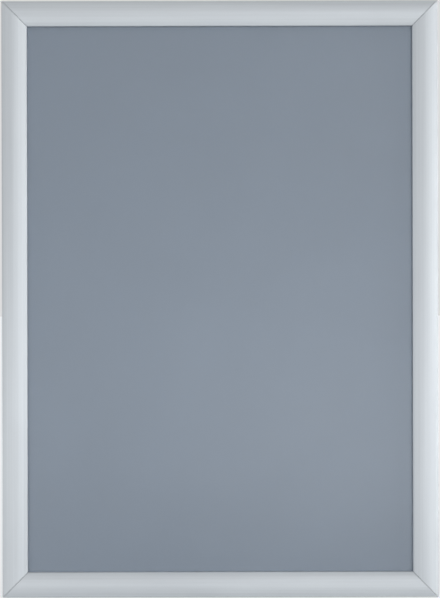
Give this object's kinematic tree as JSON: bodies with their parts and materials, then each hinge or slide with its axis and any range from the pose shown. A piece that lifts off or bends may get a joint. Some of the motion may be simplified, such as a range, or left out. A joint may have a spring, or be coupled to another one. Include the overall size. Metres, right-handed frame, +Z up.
{
  "type": "snap frame",
  "caption": "Mitred silver snap frame for a poster: arched rails hinge open on a base frame, sprung to snap open or shut, over a clear cover sheet and a grey back panel.",
  "frame": {"origin": "middle of the back, on the plane of the wall", "axes": "+X to the viewer's right, +Y into the wall, +Z up; the front faces -Y"},
  "size_m": [0.544, 0.014, 0.744],
  "materials": {
    "snap_aluminium": "satin silver anodised, drawn along the rail",
    "base_aluminium": "satin silver anodised, plain mill lines along the rail",
    "key_zinc": "dull die-cast zinc",
    "spring_steel": "bright tempered strip",
    "panel_grey": "matt grey polystyrene sheet",
    "cover_clear": "clear film with an anti-glare face"
  },
  "bodies": {
    "base_frame": {"base_rail_bottom": "base_aluminium", "base_rail_top": "base_aluminium", "base_rail_left": "base_aluminium", "base_rail_right": "base_aluminium", "corner_key_bottom_left": "key_zinc", "corner_key_bottom_right": "key_zinc", "corner_key_top_right": "key_zinc", "corner_key_top_left": "key_zinc", "spring_leaf_bottom_1": "spring_steel", "spring_leaf_bottom_2": "spring_steel", "spring_leaf_top_1": "spring_steel", "spring_leaf_top_2": "spring_steel", "spring_leaf_left_1": "spring_steel", "spring_leaf_left_2": "spring_steel", "spring_leaf_left_3": "spring_steel", "spring_leaf_right_1": "spring_steel", "spring_leaf_right_2": "spring_steel", "spring_leaf_right_3": "spring_steel", "back_panel": "panel_grey", "cover_sheet": "cover_clear"},
    "bottom_snap": {"snap_rail_bottom": "snap_aluminium"},
    "top_snap": {"snap_rail_top": "snap_aluminium"},
    "left_snap": {"snap_rail_left": "snap_aluminium"},
    "right_snap": {"snap_rail_right": "snap_aluminium"}
  },
  "joints": [
    {"name": "bottom_hinge", "type": "hinge", "parent": "base_frame", "child": "bottom_snap", "pos_m": [0, -0.0076, -0.3684], "axis": [1, 0, 0], "range_deg": [0, 90], "deforming": ["spring_leaf_bottom_1", "spring_leaf_bottom_2"]},
    {"name": "top_hinge", "type": "hinge", "parent": "base_frame", "child": "top_snap", "pos_m": [0, -0.0076, 0.3684], "axis": [-1, 0, 0], "range_deg": [0, 90], "deforming": ["spring_leaf_top_1", "spring_leaf_top_2"]},
    {"name": "left_hinge", "type": "hinge", "parent": "base_frame", "child": "left_snap", "pos_m": [-0.2684, -0.0076, 0], "axis": [0, 0, -1], "range_deg": [0, 90], "deforming": ["spring_leaf_left_1", "spring_leaf_left_2", "spring_leaf_left_3"]},
    {"name": "right_hinge", "type": "hinge", "parent": "base_frame", "child": "right_snap", "pos_m": [0.2684, -0.0076, 0], "axis": [0, 0, 1], "range_deg": [0, 90], "deforming": ["spring_leaf_right_1", "spring_leaf_right_2", "spring_leaf_right_3"]}
  ]
}
